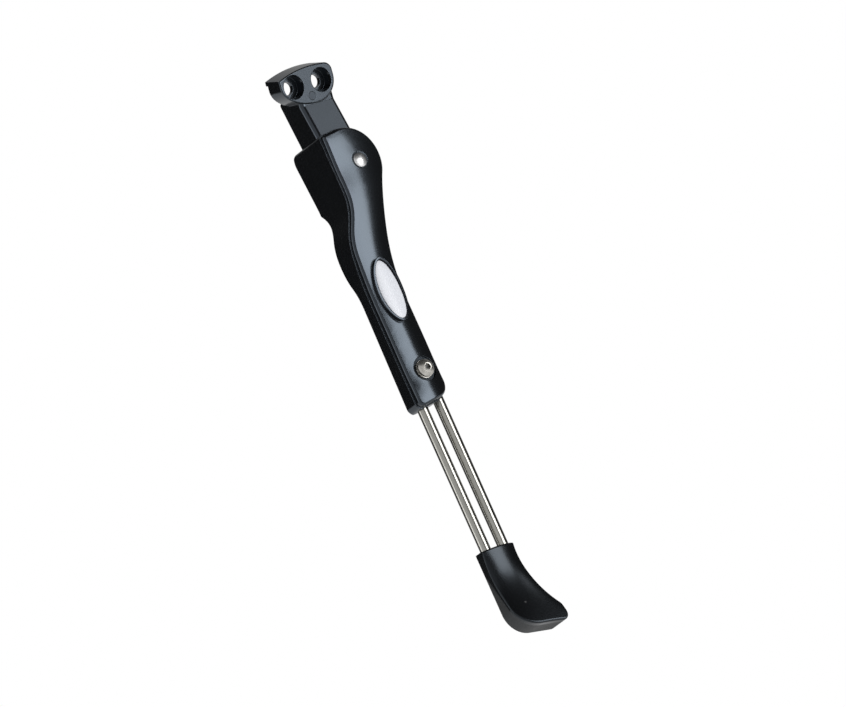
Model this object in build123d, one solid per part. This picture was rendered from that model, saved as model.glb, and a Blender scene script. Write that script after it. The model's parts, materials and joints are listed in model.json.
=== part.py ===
from build123d import *
from math import cos, radians, sin
import os

# Bicycle kickstand for a two-bolt frame plate, in millimetres.
# Frame: origin midway between the two bolt holes on the mounting face, +X along the bolt row
# towards the rear of the bicycle, +Y inboard towards the frame, +Z up. The leg is down.
# The leg's own axes start at the pivot: x along the bolt row, depth along the pivot pin
# with minus outboard, height up along the leg.

# Main lengths, measured down the leg from the pivot
LEG_LENGTH = 262.3
HOUSING_LENGTH = 133.4

# Mounting head: an egg-shaped block with two counterbored bolt holes and a hooked top lip
BOLT_SPACING = 18.0
BOLT_HOLE_D = 7.0
BOLT_SEAT_D = 12.8
BOLT_WEB = 2.6
BOLT_RELIEF_D = 7.6
BOLT_RELIEF_SIDE = 3.0
BOLT_RELIEF_DEPTH = 2.2
HEAD_WIDTH = 34.8
HEAD_X = 0.2
HEAD_DEPTH = 10.8
HEAD_BELOW_BOLTS = 11.0
HEAD_ROUND_START = 1.0
HEAD_TOP = 10.0
HEAD_TOP_CROWN_R = 67.0
HEAD_TOP_CROWN_X = 5.0
HEAD_TOP_SLOPE = 6.3
HEAD_EDGE_R = 0.8
HEAD_CORNER_R = 4.5
LIP_REACH = 1.4
LIP_HEIGHT = 2.2
MOULD_MARK_D = 4.4
MOULD_MARK_DEPTH = 0.3
MOULD_MARK_X = 1.0
MOULD_MARK_DROP = 6.8

# Place of the pivot, from the mounting face
LEG_SPLAY = 15.0
PIVOT_SIDE = 6.6
PIVOT_STANDOFF = 13.6
PIVOT_DROP = 48.9

# Neck and tongue of the bracket
NECK_WIDTH = 22.3
NECK_RIGHT = 8.4
NECK_SET_BACK = 0.5
NECK_SHOULDER_DROP = 6.6
NECK_SHOULDER_REACH = 9.4
NECK_SHOULDER_R = 1.8
NECK_FRONT_EDGE_R = 2.4
NECK_BACK_EDGE_R = 1.5
TONGUE_DEPTH = 18.0
TONGUE_TOP = 19.7
TONGUE_END_R = 11.5
TONGUE_SKIRT_ANGLE = 45.0
DETENT_FLAT_DEPTH = 0.5

# Pivot pin, bush and washers
PIN_D = 6.4
PIN_HEAD_D = 7.6
PIN_HEAD_HEIGHT = 1.5
PIN_HEAD_EDGE = 0.3
PIN_SPOT_FACE_D = 9.4
PIN_SPOT_FACE_DEPTH = 0.4
PIN_TAIL_D = 9.0
PIN_TAIL_HEIGHT = 1.6
BUSH_WALL = 1.2
TAIL_WASHER_D = 13.0
TAIL_WASHER_T = 1.0
TAIL_SPOT_FACE_CLEARANCE = 0.3
THRUST_WASHER_D = 18.0
THRUST_WASHER_T = 0.8
RUNNING_CLEARANCE = 0.05
SIDE_CLEARANCE = 0.1
SWING_CLEARANCE = 0.5
STOP_CLEARANCE = 0.15
FOLD_ANGLE = 95.0

# Leg housing seen from outside
CHEEK_LEFT = -16.0
CHEEK_TOP = 18.7
LOBE_R = 19.3
LOBE_X = -4.4
LOBE_Z = 0.7
LOBE_END_ANGLE = -31.0
LOBE_TOP_ANGLE = 97.0
LOBE_BLEND_PULL = 17.0
S_BEND_TOP = -11.9
S_BEND_BOTTOM = -47.9
SHANK_WIDTH = 21.8
SHANK_X = -12.85
SHANK_BOTTOM_RISE = 3.5
CHEEK_CORNER_R = 2.6
SHANK_CORNER_LEFT_R = 3.6
SHANK_CORNER_RIGHT_R = 9.2

# Leg housing seen from the side
CHEEK_EDGE_FRONT = -12.2
CHEEK_DOME = 3.6
CHEEK_EDGE_BACK = 17.2
CHEEK_BACK_CORNER_R = 8.5
CHEEK_STEP_Z = -16.5
CHEEK_STEP_BACK = 13.6
CHEEK_STEP_PULL = 4.0
WAIST_Z = -32.9
WAIST_END_Z = -47.9
WAIST_BACK = 5.9
SHANK_START_Z = -71.9
SHANK_EDGE_FRONT = -4.8
SHANK_DOME = 4.9
SHANK_EDGE_BACK = 2.2
SHANK_END_BACK = 3.8
SHANK_BACK_DOME = 2.4
BACK_SWELL_START = 0.3
DOME_INSET = 0.7
DOME_RISE = 1.8
DOME_EDGE_R = 1.6
DOME_MARGIN = 1.5
SHANK_STEPS = 4

# Detent plunger and its spring, on a line from the pivot into the S bend
PLUNGER_LEAN = 14.0
PLUNGER_D = 6.4
PLUNGER_LENGTH = 9.0
PLUNGER_STEM_D = 3.2
PLUNGER_STEM_LENGTH = 6.0
PLUNGER_GAP = 0.3
PLUNGER_EDGE = 0.6
SPRING_D = 6.0
SPRING_WIRE = 0.9
SPRING_LENGTH = 17.0
SPRING_TURNS = 6
WIRE_SIDES = 6

# Badge: a bare domed oval plate in a rimmed recess
BADGE_Z = -69.2
BADGE_LENGTH = 33.0
BADGE_WIDTH = 13.6
BADGE_CLEARANCE = 0.1
BADGE_STAND = 2.0
BADGE_RIM = 1.2
BADGE_RIM_HEIGHT = 2.6
BADGE_RECESS_FLOOR = -9.0

# Leg rods and their clamp
ROD_D = 6.0
ROD_SPACING = 11.5
ROD_X = -11.9
ROD_Y = -0.6
ROD_ABOVE_CLAMP = 31.9
ROD_CHAMFER = 0.6
RETRACT_TRAVEL = 30.0
ROD_BORE_RESERVE = 2.0
CLAMP_RISE = 19.6
CLAMP_SCREW_D = 5.0
CLAMP_HEAD_D = 9.5
CLAMP_HEAD_HEIGHT = 2.75
CLAMP_HEAD_EDGE = 0.9
CLAMP_SOCKET_AF = 3.0
CLAMP_SOCKET_DEPTH = 1.6
CLAMP_SOCKET_SIDES = 6
CLAMP_HEAD_PROUD = 3.0
CLAMP_RECESS_D = 13.4
CLAMP_WASHER_D = 10.0
CLAMP_WASHER_T = 1.0
LOCK_WASHER_D = 9.2
LOCK_WASHER_T = 1.2
LOCK_WASHER_GAP = 0.8
CLAMP_HOLE_CLEARANCE = 0.2
CLAMP_BLOCK_LENGTH = 16.4
CLAMP_BLOCK_HEIGHT = 11.0
CLAMP_BLOCK_FRONT = 0.8
CLAMP_BLOCK_BACK = 5.2
CLAMP_BLOCK_CLEARANCE = 0.15
CLAMP_POCKET_REACH = 2.0

# Foot, with its heights measured from the sole or down from its top
FOOT_HEIGHT = 49.0
FOOT_FLOOR = 15.5
FOOT_LEFT = -22.0
FOOT_NECK_RIGHT = -1.6
FOOT_NECK_LENGTH = 7.5
FOOT_CURVE_DROP = 13.0
FOOT_TOE = 8.3
FOOT_TOE_HEIGHT = 10.2
FOOT_TOE_R = 5.0
FOOT_NOSE_R = 3.6
FOOT_TOE_PULL = 6.5
FOOT_HEEL_R = 13.0
FOOT_HEEL_RISE = 3.6
FOOT_BACK = 3.4
FOOT_TOP_EDGE = -2.6
FOOT_TOP_CROWN = -6.8
FOOT_WAIST_DROP = 19.5
FOOT_WAIST_EDGE = -0.6
FOOT_WAIST_CROWN = -6.6
FOOT_SOLE_EDGE = -9.6
FOOT_SOLE_CROWN = -12.6
FOOT_EDGE_R = 1.0
FOOT_MARGIN = 1.5

# Places worked out from the sizes above
LEG = Pos(PIVOT_SIDE, -PIVOT_STANDOFF, -PIVOT_DROP) * Rot(-LEG_SPLAY, 0, 0)
HEAD_LEFT = HEAD_X - HEAD_WIDTH / 2
HEAD_RIGHT = HEAD_X + HEAD_WIDTH / 2
BOLT_SEAT = -BOLT_RELIEF_DEPTH - BOLT_WEB
NECK_LEFT = NECK_RIGHT - NECK_WIDTH
NECK_X = PIVOT_SIDE + (NECK_LEFT + NECK_RIGHT) / 2
TONGUE_FRONT = -TONGUE_DEPTH / 2
TONGUE_BACK = TONGUE_DEPTH / 2
SLOT_HALF = TONGUE_BACK + THRUST_WASHER_T + SIDE_CLEARANCE
BUSH_D = PIN_D + 2 * RUNNING_CLEARANCE + 2 * BUSH_WALL
PIN_SEAT = CHEEK_EDGE_FRONT - CHEEK_DOME + PIN_SPOT_FACE_DEPTH
S_BEND_MIDDLE = (S_BEND_TOP + S_BEND_BOTTOM) / 2
SHANK_LEFT = SHANK_X - SHANK_WIDTH / 2
SHANK_RIGHT = SHANK_X + SHANK_WIDTH / 2
SHANK_BOTTOM = -HOUSING_LENGTH
SHANK_RIGHT_BOTTOM = SHANK_BOTTOM + SHANK_BOTTOM_RISE
SHANK_CROWN = SHANK_EDGE_FRONT - SHANK_DOME
SHANK_SPAN = SHANK_BOTTOM - SHANK_START_Z
SHANK_STATIONS = [SHANK_START_Z + SHANK_SPAN * step / SHANK_STEPS for step in range(SHANK_STEPS + 1)]
WALL_TOP = LOBE_Z + LOBE_R + DOME_MARGIN
CHEEK_BACK_SLOPE = (CHEEK_EDGE_BACK - CHEEK_STEP_BACK) / (WALL_TOP - CHEEK_STEP_Z)
PIN_END_SEAT = CHEEK_STEP_BACK - CHEEK_STEP_Z * CHEEK_BACK_SLOPE
TAIL_SEAT = PIN_END_SEAT - TAIL_WASHER_T
PLUNGER_TIP = TONGUE_END_R + PLUNGER_GAP
PLUNGER_BACK = PLUNGER_TIP + PLUNGER_LENGTH
SPRING_SEAT = PLUNGER_BACK + SPRING_LENGTH
CLAMP_Z = SHANK_BOTTOM + CLAMP_RISE
CLAMP_HEAD_SEAT = SHANK_CROWN - CLAMP_HEAD_PROUD + CLAMP_HEAD_HEIGHT
CLAMP_SEAT = CLAMP_HEAD_SEAT + LOCK_WASHER_T + CLAMP_WASHER_T
CLAMP_HOLE_D = CLAMP_SCREW_D + 2 * CLAMP_HOLE_CLEARANCE
FOOT_SOLE = -LEG_LENGTH
FOOT_TOP = FOOT_SOLE + FOOT_HEIGHT
FOOT_NECK_BOTTOM = FOOT_TOP - FOOT_NECK_LENGTH
FOOT_WAIST_Z = FOOT_TOP - FOOT_WAIST_DROP
FOOT_TOE_Z = FOOT_SOLE + FOOT_TOE_HEIGHT
FOOT_HEEL_Z = FOOT_SOLE + FOOT_HEEL_RISE
ROD_TOP = CLAMP_Z + ROD_ABOVE_CLAMP
ROD_BOTTOM = FOOT_SOLE + FOOT_FLOOR
ROD_BORE_TOP = ROD_TOP + RETRACT_TRAVEL + ROD_BORE_RESERVE
ROD_BORE_D = ROD_D + 2 * RUNNING_CLEARANCE
FAR = 80.0
BISECTIONS = 40

# Curves that the outline, the wall and the dome share, as (value, height) control points
LEFT_CURVE = (
    (CHEEK_LEFT, S_BEND_TOP),
    (CHEEK_LEFT, S_BEND_MIDDLE),
    (SHANK_LEFT, S_BEND_MIDDLE),
    (SHANK_LEFT, S_BEND_BOTTOM),
)
FRONT_CURVE = (
    (CHEEK_EDGE_FRONT, S_BEND_TOP),
    (CHEEK_EDGE_FRONT, WAIST_Z),
    (SHANK_EDGE_FRONT, WAIST_END_Z),
    (SHANK_EDGE_FRONT, SHANK_START_Z),
)


def lobe_point(angle, inset=0):
    """Give a point of the round lobe over the pivot, or of the same lobe set in."""
    radius = LOBE_R - inset
    return (LOBE_X + radius * cos(radians(angle)), LOBE_Z + radius * sin(radians(angle)))


def right_curve(inset=0):
    """Give the control points of the curve from the lobe down to the shank."""
    x, z = lobe_point(LOBE_END_ANGLE, inset)
    turn = radians(LOBE_END_ANGLE)
    return (
        (x, z),
        (x + LOBE_BLEND_PULL * sin(turn), z - LOBE_BLEND_PULL * cos(turn)),
        (SHANK_RIGHT - inset, S_BEND_BOTTOM),
        (SHANK_RIGHT - inset, SHANK_START_Z),
    )


def row_point(depth, height):
    """Give a point of the leg's side view as (Y, Z) in the object's frame."""
    turn = radians(LEG_SPLAY)
    return (
        depth * cos(turn) + height * sin(turn) - PIVOT_STANDOFF,
        -depth * sin(turn) + height * cos(turn) - PIVOT_DROP,
    )


def bezier_point(points, t):
    """Give the point of a cubic curve at t from 0 to 1."""
    weights = ((1 - t) ** 3, 3 * t * (1 - t) ** 2, 3 * t**2 * (1 - t), t**3)
    return tuple(sum(w * p[axis] for w, p in zip(weights, points)) for axis in (0, 1))


def value_at(points, height):
    """Give a falling curve's value at a height, held at its ends above and below."""
    low, high = 0.0, 1.0
    for _ in range(BISECTIONS):
        middle = (low + high) / 2
        if bezier_point(points, middle)[1] > height:
            low = middle
        else:
            high = middle
    return bezier_point(points, high)[0]


def across(sketch, front, back):
    """Extrude an outline of the X-Z view between two depths, front being the lesser."""
    return extrude(Plane.XZ.offset(-back) * sketch, back - front)


def along_x(sketch, left, right):
    """Extrude an outline of the side view between two values of x."""
    return extrude(Plane.YZ.offset(left) * sketch, right - left)


def along_leg(sketch, bottom, top):
    """Extrude a cross-section of the leg between two heights."""
    return extrude(Plane.XY.offset(bottom) * sketch, top - bottom)


def pin(diameter, x, z, front, back):
    """Make a round bar along the depth direction."""
    return across(Pos(x, z) * Circle(diameter / 2), front, back)


def washer(outer, inner, x, z, front, thickness):
    """Make a flat ring along the depth direction."""
    return across(Pos(x, z) * (Circle(outer / 2) - Circle(inner / 2)), front, front + thickness)


def button(diameter, height, edge, x, z, seat, facing):
    """Make a low domed head on a seat, facing -1 outboard or 1 inboard."""
    half = diameter / 2
    rise = height - edge
    dome_r = (half**2 + rise**2) / (2 * rise)
    head = Pos(0, 0, height / 2) * Cylinder(half, height) & Pos(0, 0, height - dome_r) * Sphere(dome_r)
    return Pos(x, seat, z) * Rot(-90 * facing, 0, 0) * head


def domed_section(left, right, edge, crown, flat):
    """Draw a cross-section that is flat on one side and crowned on the other."""
    return make_face(
        ThreePointArc((left, edge), ((left + right) / 2, crown), (right, edge))
        + Polyline((right, edge), (right, flat), (left, flat), (left, edge))
    )


def domed_loft(stations):
    """Loft cross-sections, each given as a height and the sizes of domed_section."""
    return loft([Pos(0, 0, height) * domed_section(*sizes) for height, *sizes in stations])


def nearest(shape, *point):
    """Pick the vertex nearest to a point."""
    return shape.vertices().sort_by_distance(point)[0]


# Mounting bracket
def head_outline_upper():
    """Draw the straight-sided upper part of the head."""
    height = HEAD_TOP - HEAD_ROUND_START
    return Pos(HEAD_X, HEAD_ROUND_START + height / 2) * Rectangle(HEAD_WIDTH, height)


def head_outline_lower():
    """Draw the round lower part of the head, deepest over the middle of the neck."""
    fall = HEAD_BELOW_BOLTS + HEAD_ROUND_START
    outline = Sketch()
    for end in (HEAD_LEFT, HEAD_RIGHT):
        half = abs(end - NECK_X)
        quarter = Pos((end + NECK_X) / 2, HEAD_ROUND_START - fall / 2) * Rectangle(half, fall)
        outline += Pos(NECK_X, HEAD_ROUND_START) * Ellipse(half, fall) & quarter
    return outline


def head_block():
    # The top is part of a large cylinder that slopes down towards the front
    place = Pos(HEAD_TOP_CROWN_X, LIP_REACH, HEAD_TOP) * Rot(HEAD_TOP_SLOPE, 0, 0)
    crown = place * Pos(0, 0, -HEAD_TOP_CROWN_R) * Rot(90, 0, 0) * Cylinder(HEAD_TOP_CROWN_R, FAR)
    upper = across(head_outline_upper(), -HEAD_DEPTH, LIP_REACH) & crown
    corner = upper.edges().sort_by_distance((HEAD_RIGHT, -HEAD_DEPTH / 2, HEAD_TOP))[0]
    upper = fillet(corner, HEAD_CORNER_R)
    behind = across(head_outline_upper(), 0, LIP_REACH)
    block = upper - behind + across(head_outline_lower(), -HEAD_DEPTH, 0)
    block = fillet(block.faces().sort_by(Axis.Y)[0].edges(), HEAD_EDGE_R)
    # The lip is the upper layer of the top, carried on behind the mounting face
    lip = upper & behind
    return block + (lip - Pos(0, 0, -LIP_HEIGHT) * crown)


def neck_bar():
    front_of_head = -HEAD_DEPTH + NECK_SET_BACK
    inside_head = -NECK_SHOULDER_DROP / 2
    front = (
        row_point(TONGUE_FRONT, TONGUE_TOP / 2),
        row_point(TONGUE_FRONT, TONGUE_TOP),
        (front_of_head, -HEAD_BELOW_BOLTS),
        (front_of_head, inside_head),
    )
    back = (
        (-NECK_SET_BACK, inside_head),
        (-NECK_SET_BACK, -NECK_SHOULDER_DROP),
        (NECK_SHOULDER_REACH, -NECK_SHOULDER_DROP),
        row_point(TONGUE_BACK, TONGUE_TOP),
        row_point(TONGUE_BACK, TONGUE_TOP / 2),
    )
    profile = make_face(Polyline(*front, *back, close=True))
    profile = fillet(nearest(profile, NECK_SHOULDER_REACH, -NECK_SHOULDER_DROP), NECK_SHOULDER_R)
    bar = along_x(profile, PIVOT_SIDE + NECK_LEFT, PIVOT_SIDE + NECK_RIGHT)
    # The long side edges are rounded, those at the front more
    slope = radians(LEG_SPLAY)
    for radius, sign in ((NECK_FRONT_EDGE_R, -1), (NECK_BACK_EDGE_R, 1)):
        for side in (0, -1):
            edges = []
            for edge in bar.faces().sort_by(Axis.X)[side].edges():
                middle = edge.center() - Vector(PIVOT_SIDE, -PIVOT_STANDOFF, -PIVOT_DROP)
                depth = middle.Y * cos(slope) - middle.Z * sin(slope)
                if sign * depth > TONGUE_BACK / 2:
                    edges.append(edge)
            bar = fillet(edges, radius)
    return bar


def tongue():
    bar = Pos((NECK_LEFT + NECK_RIGHT) / 2, TONGUE_TOP / 4) * Rectangle(NECK_WIDTH, TONGUE_TOP / 2)
    # Below the pivot the left side runs in a straight line to the round end
    lean = radians(PLUNGER_LEAN + TONGUE_SKIRT_ANGLE)
    meeting = (-TONGUE_END_R * sin(lean), -TONGUE_END_R * cos(lean))
    skirt = make_face(Polyline((NECK_LEFT, 0), (0, 0), meeting, close=True))
    end = bar + skirt + Circle(TONGUE_END_R)
    # Two flats on the round end hold the leg down and folded
    flat = Pos(0, -TONGUE_END_R) * Rectangle(TONGUE_END_R, 2 * DETENT_FLAT_DEPTH)
    for angle in (-PLUNGER_LEAN, FOLD_ANGLE - PLUNGER_LEAN):
        end -= Rot(0, 0, angle) * flat
    return across(end, TONGUE_FRONT, TONGUE_BACK)


def mounting_bracket():
    body = head_block() + neck_bar() + LEG * tongue()
    # Each bolt has a deep seat in front, and a shallow cored pocket opens its hole to the right behind
    for side in (-1, 1):
        x = side * BOLT_SPACING / 2
        body -= pin(BOLT_HOLE_D, x, 0, -FAR, FAR)
        body -= pin(BOLT_SEAT_D, x, 0, -FAR, BOLT_SEAT)
        body -= pin(BOLT_RELIEF_D, x + BOLT_RELIEF_SIDE, 0, -BOLT_RELIEF_DEPTH, 0)
    body -= pin(MOULD_MARK_D, MOULD_MARK_X, -MOULD_MARK_DROP, -FAR, -HEAD_DEPTH + MOULD_MARK_DEPTH)
    body -= LEG * pin(BUSH_D, 0, 0, -FAR, FAR)
    return body


def pivot_bush():
    return washer(BUSH_D, PIN_D + 2 * RUNNING_CLEARANCE, 0, 0, TONGUE_FRONT, TONGUE_DEPTH)


# Leg housing
def housing_outline(inset=0):
    """Draw the housing seen from outside, or the same outline set in all round."""
    left = [(x + inset, z) for x, z in LEFT_CURVE]
    right = right_curve(inset)
    lobe_top = lobe_point(LOBE_TOP_ANGLE, inset)
    lobe_middle = lobe_point((LOBE_END_ANGLE + LOBE_TOP_ANGLE) / 2, inset)
    top_corner = (CHEEK_LEFT + inset, CHEEK_TOP - inset)
    bottom_left = (SHANK_LEFT + inset, SHANK_BOTTOM + inset)
    bottom_right = (SHANK_RIGHT - inset, SHANK_RIGHT_BOTTOM + inset)
    outline = make_face(
        Line(top_corner, left[0])
        + Bezier(*left)
        + Polyline(left[-1], bottom_left, bottom_right, right[-1])
        + Bezier(*reversed(right))
        + ThreePointArc(right[0], lobe_middle, lobe_top)
        + Line(lobe_top, top_corner)
    )
    outline = fillet(nearest(outline, *top_corner), CHEEK_CORNER_R - inset)
    outline = fillet(nearest(outline, *bottom_left), SHANK_CORNER_LEFT_R - inset)
    return fillet(nearest(outline, *bottom_right), SHANK_CORNER_RIGHT_R - inset)


def wall_profile():
    """Draw the side view of the housing's wall, as (depth, height)."""
    waist_blend = (WAIST_END_Z + SHANK_START_Z) / 2
    profile = make_face(
        Line((CHEEK_EDGE_FRONT, WALL_TOP), (CHEEK_EDGE_FRONT, S_BEND_TOP))
        + Bezier(*FRONT_CURVE)
        + Polyline(
            (SHANK_EDGE_FRONT, SHANK_START_Z),
            (SHANK_EDGE_FRONT, SHANK_BOTTOM),
            (SHANK_END_BACK, SHANK_BOTTOM),
            (SHANK_EDGE_BACK, SHANK_START_Z),
        )
        + Bezier(
            (SHANK_EDGE_BACK, SHANK_START_Z),
            (SHANK_EDGE_BACK, waist_blend),
            (WAIST_BACK, waist_blend),
            (WAIST_BACK, WAIST_END_Z),
        )
        + Line((WAIST_BACK, WAIST_END_Z), (WAIST_BACK, WAIST_Z))
        + Bezier(
            (WAIST_BACK, WAIST_Z),
            (WAIST_BACK, (WAIST_Z + CHEEK_STEP_Z) / 2),
            (CHEEK_STEP_BACK - CHEEK_STEP_PULL, CHEEK_STEP_Z - CHEEK_STEP_PULL),
            (CHEEK_STEP_BACK, CHEEK_STEP_Z),
        )
        + Polyline(
            (CHEEK_STEP_BACK, CHEEK_STEP_Z),
            (CHEEK_EDGE_BACK, WALL_TOP),
            (CHEEK_EDGE_FRONT, WALL_TOP),
        )
    )
    return fillet(nearest(profile, CHEEK_EDGE_BACK, WALL_TOP), CHEEK_BACK_CORNER_R)


def dome_blank():
    """Make the crowned front as a bar that is wider than the housing."""
    stations = []
    for height in (WALL_TOP, LOBE_Z, S_BEND_TOP, S_BEND_MIDDLE, WAIST_END_Z, *SHANK_STATIONS):
        edge = value_at(FRONT_CURVE, height)
        share = (edge - CHEEK_EDGE_FRONT) / (SHANK_EDGE_FRONT - CHEEK_EDGE_FRONT)
        crown = edge - CHEEK_DOME - share * (SHANK_DOME - CHEEK_DOME)
        left = value_at(LEFT_CURVE, height) - DOME_MARGIN
        right = value_at(right_curve(), height) + DOME_MARGIN
        if height >= LOBE_Z:
            right = LOBE_X + LOBE_R + DOME_MARGIN
        stations.append((height, left, right, edge - DOME_RISE, crown, 0))
    return domed_loft(stations)


def back_swell():
    """Make the slight crown on the lower back."""
    sides = (SHANK_LEFT, SHANK_RIGHT)
    waist = (WAIST_BACK - BACK_SWELL_START, WAIST_BACK + BACK_SWELL_START)
    stations = [(WAIST_END_Z, *sides, *waist, 0)]
    for height in SHANK_STATIONS:
        share = (height - SHANK_START_Z) / SHANK_SPAN
        edge = SHANK_EDGE_BACK + share * (SHANK_END_BACK - SHANK_EDGE_BACK)
        stations.append((height, *sides, edge - BACK_SWELL_START, edge + SHANK_BACK_DOME, 0))
    return domed_loft(stations) & across(housing_outline(BACK_SWELL_START), 0, FAR)


def swing_slot():
    """Draw the space that the tongue and neck need between the cheeks."""
    stop_left = NECK_LEFT - STOP_CLEARANCE
    shelf = -NECK_RIGHT - STOP_CLEARANCE
    shelf_fall = FAR * sin(radians(FOLD_ANGLE - 90))
    stop_wall = ((stop_left, FAR), (stop_left, 0))
    stop_shelf = ((0, shelf), (FAR, shelf - shelf_fall))
    opening = make_face(Polyline(*stop_wall, *stop_shelf, (FAR, FAR), close=True))
    quarter = Pos(stop_left, stop_left) * Rectangle(-2 * stop_left, -2 * stop_left)
    left_end = Circle(-stop_left) & quarter
    return opening + Circle(TONGUE_END_R + SWING_CLEARANCE) + left_end


def on_plunger_line(diameter, start, end):
    """Make a round bar on the plunger's line, between two distances from the pivot."""
    return Rot(0, PLUNGER_LEAN, 0) * along_leg(Circle(diameter / 2), -end, -start)


def badge_oval(margin):
    """Draw the badge's oval with a margin all round."""
    return Pos(SHANK_X, BADGE_Z) * Ellipse(BADGE_WIDTH / 2 + margin, BADGE_LENGTH / 2 + margin)


def clamp_window(margin):
    """Draw the clamp block seen from behind, with a margin all round."""
    return Pos(ROD_X, CLAMP_Z) * Rectangle(CLAMP_BLOCK_LENGTH + 2 * margin, CLAMP_BLOCK_HEIGHT + 2 * margin)


def rod_bar(side, diameter, bottom, top):
    """Make a round bar on one rod's line, side being -1 for left and 1 for right."""
    return along_leg(Pos(ROD_X + side * ROD_SPACING / 2, ROD_Y) * Circle(diameter / 2), bottom, top)


def leg_housing():
    outline = housing_outline()
    blank = dome_blank()
    dome = blank & across(housing_outline(DOME_INSET), -FAR, 0)
    dome = fillet(dome.faces().sort_by_distance((SHANK_X, -FAR, BADGE_Z))[0].edges(), DOME_EDGE_R)
    body = across(outline, -FAR, FAR) & along_x(wall_profile(), -FAR, FAR)
    body += dome
    body += back_swell()
    rim = across(badge_oval(BADGE_RIM), -FAR, 0)
    body += Pos(0, -BADGE_RIM_HEIGHT, 0) * blank & rim
    # Slot, pivot and detent
    body -= across(swing_slot(), -SLOT_HALF, SLOT_HALF)
    body -= pin(PIN_D, 0, 0, -FAR, FAR)
    body -= pin(PIN_SPOT_FACE_D, 0, 0, -FAR, PIN_SEAT)
    body -= pin(TAIL_WASHER_D + 2 * TAIL_SPOT_FACE_CLEARANCE, 0, 0, TAIL_SEAT, FAR)
    body -= on_plunger_line(PLUNGER_D + 2 * RUNNING_CLEARANCE, 0, SPRING_SEAT)
    # Badge recess, rod bores and clamp
    body -= across(badge_oval(BADGE_CLEARANCE), -FAR, BADGE_RECESS_FLOOR)
    for side in (-1, 1):
        body -= rod_bar(side, ROD_BORE_D, 2 * SHANK_BOTTOM, ROD_BORE_TOP)
    body -= pin(CLAMP_RECESS_D, ROD_X, CLAMP_Z, -FAR, CLAMP_SEAT)
    body -= pin(CLAMP_HOLE_D, ROD_X, CLAMP_Z, -FAR, 0)
    body -= across(clamp_window(CLAMP_BLOCK_CLEARANCE), CLAMP_BLOCK_FRONT - CLAMP_BLOCK_CLEARANCE, FAR)
    between_rods = Pos(ROD_X, CLAMP_Z) * Rectangle(ROD_SPACING, CLAMP_BLOCK_HEIGHT)
    body -= across(between_rods, ROD_Y - CLAMP_POCKET_REACH, FAR)
    return body


def pivot_pin():
    """Make the pin with its domed head outboard and its peened tail inboard."""
    body = pin(PIN_D, 0, 0, PIN_SEAT, PIN_END_SEAT)
    body += button(PIN_HEAD_D, PIN_HEAD_HEIGHT, PIN_HEAD_EDGE, 0, 0, PIN_SEAT, -1)
    return body + button(PIN_TAIL_D, PIN_TAIL_HEIGHT, PIN_HEAD_EDGE, 0, 0, PIN_END_SEAT, 1)


def detent_plunger():
    body = on_plunger_line(PLUNGER_D, PLUNGER_TIP, PLUNGER_BACK)
    rims = body.edges().filter_by(GeomType.CIRCLE)
    body = chamfer(rims.sort_by_distance((0, 0, 0))[0], PLUNGER_EDGE)
    return body + on_plunger_line(PLUNGER_STEM_D, PLUNGER_TIP, PLUNGER_BACK + PLUNGER_STEM_LENGTH)


def detent_spring():
    coil_r = (SPRING_D - SPRING_WIRE) / 2
    rise = SPRING_LENGTH - SPRING_WIRE
    path = Helix(rise / SPRING_TURNS, rise, coil_r)
    wire = sweep(Plane(path @ 0, z_dir=path % 0) * RegularPolygon(SPRING_WIRE / 2, WIRE_SIDES), path)
    return Rot(0, PLUNGER_LEAN, 0) * Pos(0, 0, -SPRING_SEAT + SPRING_WIRE / 2) * wire


def badge_insert():
    return Pos(0, -BADGE_STAND, 0) * dome_blank() & across(badge_oval(0), -FAR, BADGE_RECESS_FLOOR)


# Clamp
def clamp_screw():
    body = pin(CLAMP_SCREW_D, ROD_X, CLAMP_Z, CLAMP_HEAD_SEAT, CLAMP_BLOCK_BACK)
    body += button(CLAMP_HEAD_D, CLAMP_HEAD_HEIGHT, CLAMP_HEAD_EDGE, ROD_X, CLAMP_Z, CLAMP_HEAD_SEAT, -1)
    top = CLAMP_HEAD_SEAT - CLAMP_HEAD_HEIGHT
    hexagon = RegularPolygon(CLAMP_SOCKET_AF / 2, CLAMP_SOCKET_SIDES, major_radius=False)
    return body - across(Pos(ROD_X, CLAMP_Z) * hexagon, top, top + CLAMP_SOCKET_DEPTH)


def clamp_washer():
    front = CLAMP_SEAT - CLAMP_WASHER_T
    return washer(CLAMP_WASHER_D, CLAMP_HOLE_D, ROD_X, CLAMP_Z, front, CLAMP_WASHER_T)


def clamp_lock_washer():
    bore = CLAMP_SCREW_D + 2 * RUNNING_CLEARANCE
    ring = washer(LOCK_WASHER_D, bore, ROD_X, CLAMP_Z, CLAMP_HEAD_SEAT, LOCK_WASHER_T)
    gap = Pos(ROD_X + LOCK_WASHER_D / 2, CLAMP_Z) * Rectangle(LOCK_WASHER_D, LOCK_WASHER_GAP)
    return ring - across(gap, -FAR, FAR)


def clamp_block():
    block = across(clamp_window(0), CLAMP_BLOCK_FRONT, CLAMP_BLOCK_BACK)
    for side in (-1, 1):
        block -= rod_bar(side, ROD_BORE_D, 2 * SHANK_BOTTOM, 0)
    return block - pin(CLAMP_SCREW_D, ROD_X, CLAMP_Z, -FAR, FAR)


# Rods and foot
def leg_rod(side):
    rod = rod_bar(side, ROD_D, ROD_BOTTOM, ROD_TOP)
    return chamfer(rod.edges().filter_by(GeomType.CIRCLE), ROD_CHAMFER)


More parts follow.
